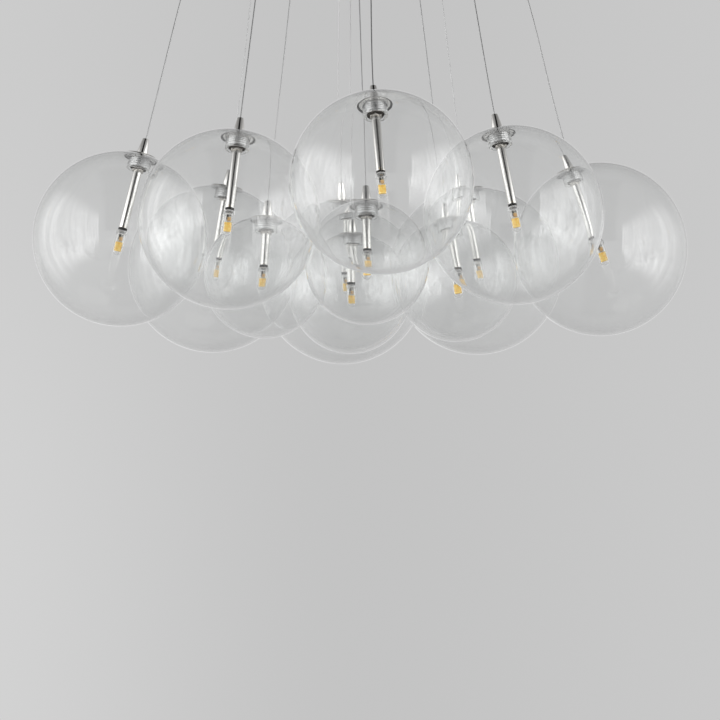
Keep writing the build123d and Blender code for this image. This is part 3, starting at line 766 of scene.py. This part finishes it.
def lamp_inside():
    """The board in the capsule and what is on it: each has its material and its blocks' centres and sizes."""
    shoulder = LAMP_TOP - LAMP_GAP - LAMP_COLLAR_HEIGHT
    chip_top = shoulder - DRIVE_HEIGHT
    chip_middle = chip_top - CHIP_HEIGHT / 2
    board_height = DRIVE_HEIGHT + CHIP_HEIGHT
    board = ((0, BOARD_BEHIND, shoulder - board_height / 2), (BOARD_WIDTH, BOARD_THICKNESS, board_height))
    chip = ((0, 0, chip_middle), (CHIP_WIDTH, CHIP_THICKNESS, CHIP_HEIGHT))

    def on_the_board(blocks):
        return [((block.aside, -CHIP_THICKNESS / 2, shoulder - block.below), block.size) for block in blocks]

    return {
        "board": ("board", [board]),
        "chip": ("phosphor", [chip]),
        "drive": ("component", on_the_board(DRIVE_BLOCKS)),
        "capacitor": ("capacitor", on_the_board(CAPACITOR_BLOCKS)),
    }


# ---------------------------------------------------------------- the drops


def add_piece(name, mesh, matrix, material, body):
    piece = bpy.data.objects.new(name, mesh)
    bpy.context.scene.collection.objects.link(piece)
    if not mesh.materials:
        mesh.materials.append(material)
    piece.matrix_world = matrix
    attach(piece, body)
    return piece


def lets_light_in(piece):
    """Clear pieces cast no shadow, so that what they hold is lit."""
    piece.visible_shadow = False


def stem_meshes(drop):
    """Meshes of a fitting by piece name, each with its material."""
    seat = seat_height(drop)
    plug_low = seat - PLUG_DEPTH
    washer_low = plug_low - WASHER_THICKNESS
    nut_low = washer_low - NUT_THICKNESS
    bore = TUBE_RADIUS + FIT
    ring_top = LAMP_TOP + RING_HEIGHT
    tube_top = tube_top_of(drop)
    tube_inside = TUBE_RADIUS - TUBE_WALL
    size = f"{drop.globe:.0f}"
    tube = ring_mesh(f"tube_mesh_{size}", tube_inside, TUBE_RADIUS, ring_top, tube_top, ROUNDING["tube"])
    washer = ring_mesh(f"washer_mesh_{size}", bore, WASHER_RADIUS, washer_low, plug_low, ROUNDING["washer"])
    return {
        "tube": (tube, "chrome"),
        "gland": (gland_mesh(drop), "chrome"),
        "disc": (disc_mesh(drop), "chrome"),
        "seal": (seal_mesh(drop), "rubber"),
        "plug": (plug_mesh(drop), "thread"),
        "washer": (washer, "washer"),
        "nut": (nut_mesh(f"nut_mesh_{size}", bore, nut_low), "nut"),
    }


def add_cable(drop, materials):
    """One cable, a smooth curve through the part's own route."""
    points = cable_points(drop)
    curve = bpy.data.curves.new(f"cord_{drop.name}", "CURVE")
    curve.dimensions = "3D"
    curve.bevel_depth = CABLE_RADIUS * MM
    curve.bevel_resolution = 4
    curve.use_fill_caps = True
    spline = curve.splines.new("NURBS")
    spline.points.add(len(points) - 1)
    for control, point in zip(spline.points, points):
        control.co = (*point, 1)
    spline.order_u = 3
    spline.use_endpoint_u = True
    spline.resolution_u = CABLE_STEPS
    curve.materials.append(materials["cable"])
    piece = bpy.data.objects.new(f"cord_{drop.name}", curve)
    bpy.context.scene.collection.objects.link(piece)
    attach(piece, f"drop_{drop.name}")
    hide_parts(f"cable_{drop.name}")


def add_drops(materials):
    """All twelve drops. Those of one size share their meshes."""
    ring_top = LAMP_TOP + RING_HEIGHT
    ring = ring_mesh("ring_mesh", RING_BORE, TUBE_RADIUS, LAMP_TOP, ring_top, ROUNDING["ring"])
    capsule = capsule_mesh()
    pins = pins_mesh()
    inside = {
        name: (block_mesh(f"{name}_mesh", boxes, ROUNDING[name]), finish)
        for name, (finish, boxes) in lamp_inside().items()
    }
    stems = {}
    globes = {}
    for drop in DROPS:
        if drop.globe not in stems:
            stems[drop.globe] = stem_meshes(drop)
            globes[drop.globe] = globe_mesh(drop)
        matrix = placed(drop)
        body = f"drop_{drop.name}"
        for name, (mesh, finish) in stems[drop.globe].items():
            piece = add_piece(f"{name}_{drop.name}", mesh, matrix, materials[finish], body)
            if name == "tube":
                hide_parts(f"stem_{drop.name}")
        add_piece(f"ring_{drop.name}", ring, matrix, materials["black"], body)

        glass = add_piece(
            f"glass_{drop.name}",
            globes[drop.globe],
            matrix,
            materials["glass"],
            f"globe_{drop.name}",
        )
        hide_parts(f"globe_{drop.name}")
        lets_light_in(glass)

        body = f"lamp_{drop.name}"
        clear = add_piece(f"capsule_{drop.name}", capsule, matrix, materials["capsule"], body)
        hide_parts(f"lamp_{drop.name}")
        lets_light_in(clear)
        add_piece(f"pins_{drop.name}", pins, matrix, materials["pin"], body)
        for name, (mesh, finish) in inside.items():
            add_piece(f"{name}_{drop.name}", mesh, matrix, materials[finish], body)
        add_cable(drop, materials)


# ---------------------------------------------------------------- the canopy's CAD nodes

CANOPY_FINISH = {
    "ceiling_plate": "plate",
    "canopy_cover": "canopy",
    "cover_screws": "steel",
    "cable_grips": "canopy",
    "grip_nuts": "steel",
    "inlet_grommet": "rubber",
    "led_driver": "case",
    "driver_screws": "steel",
    "mains_terminal": "terminal",
    "low_voltage_base": "terminal",
    "low_voltage_bars": "brass",
    "earth_stud": "brass",
}


def finish_canopy(materials):
    """The canopy's nodes keep the part's own shapes and get finer materials."""
    for node, finish in CANOPY_FINISH.items():
        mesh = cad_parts[node].data
        mesh.materials.clear()
        mesh.materials.append(materials[finish])


# ---------------------------------------------------------------- light, floor and camera

CAMERA_PITCH = radians(11)
CAMERA_PLACE = (0.010, -4.70886, -1.6384)
CAMERA_LENS = 210.65
CAMERA_SENSOR = 36.0
CAMERA_SIGHT = 200.0
GLASS_BOUNCES = 48

# The backdrop, with a glow low on the left, a fainter one on the right, and less light overhead.
BACKDROP_GREY = 0.55
GLOW_LEFT = Step(0.0, 0.1, 0.0, 0.1)
GLOW_LEFT_LESS_HIGH = Step(0.14, 0.27, 1.0, 0.55)
GLOW_RIGHT = Step(0.0, 0.1, 0.0, 0.035)
OVERHEAD_LOSS = Step(0.4, 0.85, 0.0, 0.25)

# The studio that is mirrored: a narrow dark strip behind the camera, bright beside it and ahead.
STRIP_SIDE = Step(0.22, 0.36)
STRIP_END = Step(-0.1, 0.2)
STRIP_LEVEL = 0.03
FRONT_TO_BACK = Step(-0.9, 0.35, 0.8, 1.0)
DIMMER_HIGH = Step(0.22, 0.6, 1.0, 0.75)
DIMMER_AHEAD = Step(0.78, 0.9, 1.0, 0.94)
BRIGHTER_STRAIGHT_AHEAD = Step(0.955, 0.985, 1.0, 1.35)

# Two walls of white cloth beside the object, lit from behind: what the globes mirror.
Panel = namedtuple("Panel", "name across back")
PANELS = [Panel("left", -1.06, 0.7), Panel("right", 1.12, 0.6)]
PANEL_STRENGTH = 1.8
PANEL_FRONT = -1.78
PANEL_LOW = -1.34
PANEL_HIGH = 0.24
PANEL_FOOT_FADE = 0.5
PANEL_TOP_FADE = 0.5
PANEL_BACK_FADE = 0.8
PANEL_FRONT_FADE = 0.6
PANEL_FRONT_GAIN = 1.3
FOLDS_ALONG = 7.0
FOLDS_UP = 0.8
FOLD_SHADE = Step(0.35, 0.65, 0.76, 1.22)

# Soft lamps that light the solid colours but aren't mirrored: place, what they face, size and watts.
Lamp = namedtuple("Lamp", "name place faces size watts")
LAMPS = [
    Lamp("key", (-2.3, -3.2, 0.2), (0, 0, -0.5), 2.4, 240.0),
    Lamp("fill", (2.5, -2.8, -1.2), (0, 0, -0.5), 2.4, 120.0),
]
FLOOR_Z = -2.4
FLOOR_REACH = 60.0
# what the floor adds to its matt shade where the camera sees it
FLOOR_PALER = 0.38


def make_world():
    """A plain grey backdrop, and for what reflects, a studio with a narrow dark strip behind the camera."""
    world = bpy.data.worlds.new("studio")
    bpy.context.scene.world = world
    world.use_nodes = True
    tree = world.node_tree
    tree.nodes.clear()
    w = Wiring(tree)
    x, y, z = w.place("Generated")

    left = w.smooth(w.maths("MULTIPLY", x, -1), GLOW_LEFT)
    left = w.maths("MULTIPLY", left, w.smooth(z, GLOW_LEFT_LESS_HIGH))
    right = w.smooth(x, GLOW_RIGHT)
    overhead = w.smooth(z, OVERHEAD_LOSS)
    backdrop = w.maths("ADD", w.maths("ADD", left, right), BACKDROP_GREY)
    backdrop = w.maths("SUBTRACT", backdrop, overhead)

    # 1 straight ahead in the photograph's view, and less away from it
    level_part = w.maths("MULTIPLY", y, cos(CAMERA_PITCH))
    rising_part = w.maths("MULTIPLY", z, sin(CAMERA_PITCH))
    ahead = w.maths("ADD", level_part, rising_part)
    beside = w.smooth(w.maths("ABSOLUTE", x), STRIP_SIDE)
    around = w.maths("MAXIMUM", beside, w.smooth(y, STRIP_END))
    studio = w.maths("MULTIPLY", around, w.smooth(y, FRONT_TO_BACK))
    mirrored = w.maths("MULTIPLY", backdrop, w.maths("MAXIMUM", studio, STRIP_LEVEL))
    for value, step in ((z, DIMMER_HIGH), (ahead, DIMMER_AHEAD), (ahead, BRIGHTER_STRAIGHT_AHEAD)):
        mirrored = w.maths("MULTIPLY", mirrored, w.smooth(value, step))

    seen = tree.nodes.new("ShaderNodeBackground")
    lit = tree.nodes.new("ShaderNodeBackground")
    w.link(backdrop, seen.inputs["Strength"])
    w.link(mirrored, lit.inputs["Strength"])
    for background in (seen, lit):
        background.inputs["Color"].default_value = (1, 1, 1, 1)
    output = tree.nodes.new("ShaderNodeOutputWorld")
    tree.links.new(w.mix(w.looks_through(), lit.outputs[0], seen.outputs[0]), output.inputs["Surface"])


def panel_material(back):
    """Backlit cloth with soft upright folds.

    It fades out at its foot, its top and its far end, and rays that look through don't meet it.
    """
    material = bpy.data.materials.new("panel_cloth")
    material.use_nodes = True
    tree = material.node_tree
    tree.nodes.clear()
    w = Wiring(tree)
    _, y, z = w.place("Object")
    upright = w.maths(
        "MULTIPLY",
        w.smooth(z, Step(PANEL_LOW, PANEL_LOW + PANEL_FOOT_FADE)),
        w.smooth(z, Step(PANEL_HIGH - PANEL_TOP_FADE, PANEL_HIGH, 1.0, 0.0)),
    )
    far_end = w.smooth(y, Step(back - PANEL_BACK_FADE, back, 1.0, 0.0))
    folds = tree.nodes.new("ShaderNodeTexNoise")
    folds.inputs["Scale"].default_value = 1.0
    folds.inputs["Detail"].default_value = 3.0
    hung = tree.nodes.new("ShaderNodeCombineXYZ")
    w.link(w.maths("MULTIPLY", y, FOLDS_ALONG), hung.inputs[1])
    w.link(w.maths("MULTIPLY", z, FOLDS_UP), hung.inputs[2])
    tree.links.new(hung.outputs[0], folds.inputs["Vector"])
    shade = w.smooth(folds.outputs["Fac"], FOLD_SHADE)
    near_end = w.smooth(y, Step(PANEL_FRONT, PANEL_FRONT + PANEL_FRONT_FADE, PANEL_FRONT_GAIN, 1.0))
    shade = w.maths("MULTIPLY", shade, near_end)
    cloth = tree.nodes.new("ShaderNodeEmission")
    w.link(w.maths("MULTIPLY", shade, PANEL_STRENGTH), cloth.inputs["Strength"])
    clear = tree.nodes.new("ShaderNodeBsdfTransparent")
    faded = w.maths("SUBTRACT", 1.0, w.maths("MULTIPLY", upright, far_end))
    open_part = w.maths("MAXIMUM", w.looks_through(), faded)
    output = tree.nodes.new("ShaderNodeOutputMaterial")
    tree.links.new(w.mix(open_part, cloth.outputs[0], clear.outputs[0]), output.inputs["Surface"])
    return material


def make_panels():
    for panel in PANELS:
        mesh = bpy.data.meshes.new(f"panel_{panel.name}")
        corners = [
            (panel.across, PANEL_FRONT, PANEL_LOW),
            (panel.across, panel.back, PANEL_LOW),
            (panel.across, panel.back, PANEL_HIGH),
            (panel.across, PANEL_FRONT, PANEL_HIGH),
        ]
        mesh.from_pydata(corners, [], [(0, 1, 2, 3)])
        mesh.materials.append(panel_material(panel.back))
        wall = bpy.data.objects.new(f"panel_{panel.name}", mesh)
        bpy.context.scene.collection.objects.link(wall)


def make_lamps():
    for lamp in LAMPS:
        data = bpy.data.lights.new(lamp.name, "AREA")
        data.shape = "SQUARE"
        data.size = lamp.size
        data.energy = lamp.watts
        light = bpy.data.objects.new(lamp.name, data)
        light.location = lamp.place
        light.rotation_euler = (Vector(lamp.faces) - Vector(lamp.place)).to_track_quat("-Z", "Y").to_euler()
        light.visible_camera = False
        light.visible_glossy = False
        light.visible_transmission = False
        bpy.context.scene.collection.objects.link(light)


def floor_material():
    """Matt, with the object's shadow, and as pale as the backdrop to the camera and to what mirrors it."""
    material = new_material("floor_pale", Base_Color=(0.72, 0.72, 0.72, 1), Roughness=1.0)
    tree = material.node_tree
    w = Wiring(tree)
    matt = tree.nodes["Principled BSDF"].outputs[0]
    rays = tree.nodes.new("ShaderNodeLightPath")
    paler = tree.nodes.new("ShaderNodeEmission")
    w.link(w.maths("MULTIPLY", rays.outputs["Is Camera Ray"], FLOOR_PALER), paler.inputs["Strength"])
    seen = tree.nodes.new("ShaderNodeAddShader")
    tree.links.new(matt, seen.inputs[0])
    tree.links.new(paler.outputs[0], seen.inputs[1])
    glow = tree.nodes.new("ShaderNodeEmission")
    glow.inputs["Strength"].default_value = BACKDROP_GREY
    mirrored = w.maths("MAXIMUM", rays.outputs["Is Glossy Ray"], rays.outputs["Is Transmission Ray"])
    output = tree.nodes["Material Output"]
    tree.links.new(w.mix(mirrored, seen.outputs[0], glow.outputs[0]), output.inputs["Surface"])
    return material


def make_floor():
    """A plain pale floor, far below the object."""
    mesh = bpy.data.meshes.new("floor")
    corners = [(-1, -1), (1, -1), (1, 1), (-1, 1)]
    mesh.from_pydata([(x * FLOOR_REACH, y * FLOOR_REACH, FLOOR_Z) for x, y in corners], [], [(0, 1, 2, 3)])
    mesh.materials.append(floor_material())
    floor = bpy.data.objects.new("floor", mesh)
    bpy.context.scene.collection.objects.link(floor)


def make_camera():
    """The photograph's camera: well in front and below, looking slightly up through a long lens."""
    data = bpy.data.cameras.new("camera")
    data.sensor_width = CAMERA_SENSOR
    data.lens = CAMERA_LENS
    data.clip_end = CAMERA_SIGHT
    camera = bpy.data.objects.new("camera", data)
    camera.location = CAMERA_PLACE
    camera.rotation_euler = (radians(90) + CAMERA_PITCH, 0, 0)
    bpy.context.scene.collection.objects.link(camera)
    bpy.context.scene.camera = camera


def set_scene():
    """Enough bounces to see through all the globes, and no stray light from their glass."""
    scene = bpy.context.scene
    scene.view_settings.view_transform = "Standard"
    scene.cycles.max_bounces = GLASS_BOUNCES
    scene.cycles.transmission_bounces = GLASS_BOUNCES
    scene.cycles.glossy_bounces = 12
    scene.cycles.diffuse_bounces = 3
    scene.cycles.transparent_max_bounces = 32
    scene.cycles.caustics_refractive = False
    scene.cycles.caustics_reflective = False


finishes = make_materials()
add_drops(finishes)
finish_canopy(finishes)
make_world()
make_panels()
make_lamps()
make_floor()
make_camera()
set_scene()
